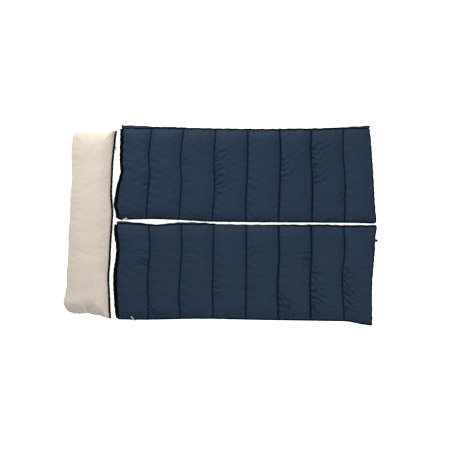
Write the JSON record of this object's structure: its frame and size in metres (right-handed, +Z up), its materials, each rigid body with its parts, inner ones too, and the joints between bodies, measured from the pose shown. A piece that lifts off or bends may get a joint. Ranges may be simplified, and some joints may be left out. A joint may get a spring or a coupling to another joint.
{
  "type": "two-person camp quilt set",
  "caption": "Two quilted bags, each folded lengthwise with an L-shaped zip along one side and round the foot, laid side by side with a full-width zip-on pillow at their heads.",
  "frame": {"origin": "centre of the whole set's outline, on the surface that it lies on", "axes": "+X from head to foot, +Y towards the left side of a person lying on their back, +Z up"},
  "size_m": [2.3439, 1.4788, 0.09],
  "materials": {
    "shell_navy": "plain-weave polyester shell, soft matte sheen",
    "lining_beige": "brushed soft lining, matte",
    "filling_white": "hollow-fibre batting",
    "thread_dark": "lockstitched polyester thread",
    "pillow_beige": "brushed off-white fabric, matte",
    "zip_tape_black": "woven zip tape",
    "binding_black": "woven edge binding",
    "webbing_black": "ribbed flat webbing",
    "zip_coil_black": "nylon coil, satin",
    "zip_metal_dark": "dark painted die-cast metal",
    "puller_grey": "moulded soft-touch plastic",
    "puller_black": "moulded soft-touch plastic"
  },
  "bodies": {
    "right_base": {"right_base_shell": "shell_navy", "right_base_quilting_thread": "thread_dark", "right_base_filling": "filling_white", "right_base_lining": "lining_beige", "right_base_zip_tape": "zip_tape_black", "right_base_zip_coil": "zip_coil_black", "right_base_head_zip_tape": "zip_tape_black", "right_base_head_zip_coil": "zip_coil_black", "right_fold_piping": "binding_black", "right_hanging_loop": "webbing_black"},
    "right_top": {"right_top_shell": "shell_navy", "right_top_quilting_thread": "thread_dark", "right_top_filling": "filling_white", "right_top_lining": "lining_beige", "right_top_zip_tape": "zip_tape_black", "right_top_zip_coil": "zip_coil_black", "right_top_head_hem": "binding_black", "right_zip_stops": "zip_metal_dark"},
    "right_slider": {"right_zip_slider": "zip_metal_dark"},
    "right_puller": {"right_zip_puller": "puller_grey"},
    "left_base": {"left_base_shell": "shell_navy", "left_base_quilting_thread": "thread_dark", "left_base_filling": "filling_white", "left_base_lining": "lining_beige", "left_base_zip_tape": "zip_tape_black", "left_base_zip_coil": "zip_coil_black", "left_base_head_zip_tape": "zip_tape_black", "left_base_head_zip_coil": "zip_coil_black", "left_fold_piping": "binding_black"},
    "left_top": {"left_top_shell": "shell_navy", "left_top_quilting_thread": "thread_dark", "left_top_filling": "filling_white", "left_top_lining": "lining_beige", "left_top_zip_tape": "zip_tape_black", "left_top_zip_coil": "zip_coil_black", "left_top_head_hem": "binding_black", "left_zip_stops": "zip_metal_dark"},
    "left_slider": {"left_zip_slider": "zip_metal_dark"},
    "left_puller": {"left_zip_puller": "puller_grey"},
    "pillow": {"pillow_face": "pillow_beige", "pillow_back": "pillow_beige", "pillow_filling": "filling_white", "pillow_zip_tape": "zip_tape_black", "pillow_zip_coil": "zip_coil_black", "pillow_zip_stops": "zip_metal_dark"},
    "pillow_slider": {"pillow_zip_slider": "zip_metal_dark"},
    "pillow_puller": {"pillow_zip_puller": "puller_black"}
  },
  "joints": [
    {"name": "right_top_fold", "type": "hinge", "parent": "right_base", "child": "right_top", "pos_m": [-0.77889, 0.0272, 0.0375], "axis": [-0.9999, 0.0118, 0], "range_deg": [0, 90]},
    {"name": "right_zip_run", "type": "slide", "parent": "right_top", "child": "right_slider", "axis": [1, -0.0082, 0], "range_m": [0, 1.55]},
    {"name": "right_puller_swing", "type": "hinge", "parent": "right_slider", "child": "right_puller", "pos_m": [-0.64296, -0.70439, 0.0421], "axis": [0.8297, 0.5582, 0], "range_deg": [0, 150]},
    {"name": "left_bag_lays_beside", "type": "slide", "parent": "right_base", "child": "left_base", "axis": [0.0698, 0.9976, 0], "range_m": [0, 0.5]},
    {"name": "left_top_fold", "type": "hinge", "parent": "left_base", "child": "left_top", "pos_m": [-0.73789, 0.7372, 0.0375], "axis": [-1, 0, 0], "range_deg": [0, 180]},
    {"name": "left_zip_run", "type": "slide", "parent": "left_top", "child": "left_slider", "axis": [0.9999, -0.0165, 0], "range_m": [0, 1.82]},
    {"name": "left_puller_swing", "type": "hinge", "parent": "left_slider", "child": "left_puller", "pos_m": [-0.74103, 0.04503, 0.0421], "axis": [0.3916, -0.9201, 0], "range_deg": [0, 95]},
    {"name": "pillow_zips_off", "type": "slide", "parent": "right_base", "child": "pillow", "axis": [-1, 0, 0], "range_m": [0, 0.3]},
    {"name": "pillow_zip_run", "type": "slide", "parent": "pillow", "child": "pillow_slider", "axis": [-0.0285, -0.9996, 0], "range_m": [0, 1.2]},
    {"name": "pillow_puller_swing", "type": "hinge", "parent": "pillow_slider", "child": "pillow_puller", "pos_m": [-0.78088, 0.58953, 0.0407], "axis": [-0.9996, 0.0285, 0], "range_deg": [0, 170]}
  ]
}
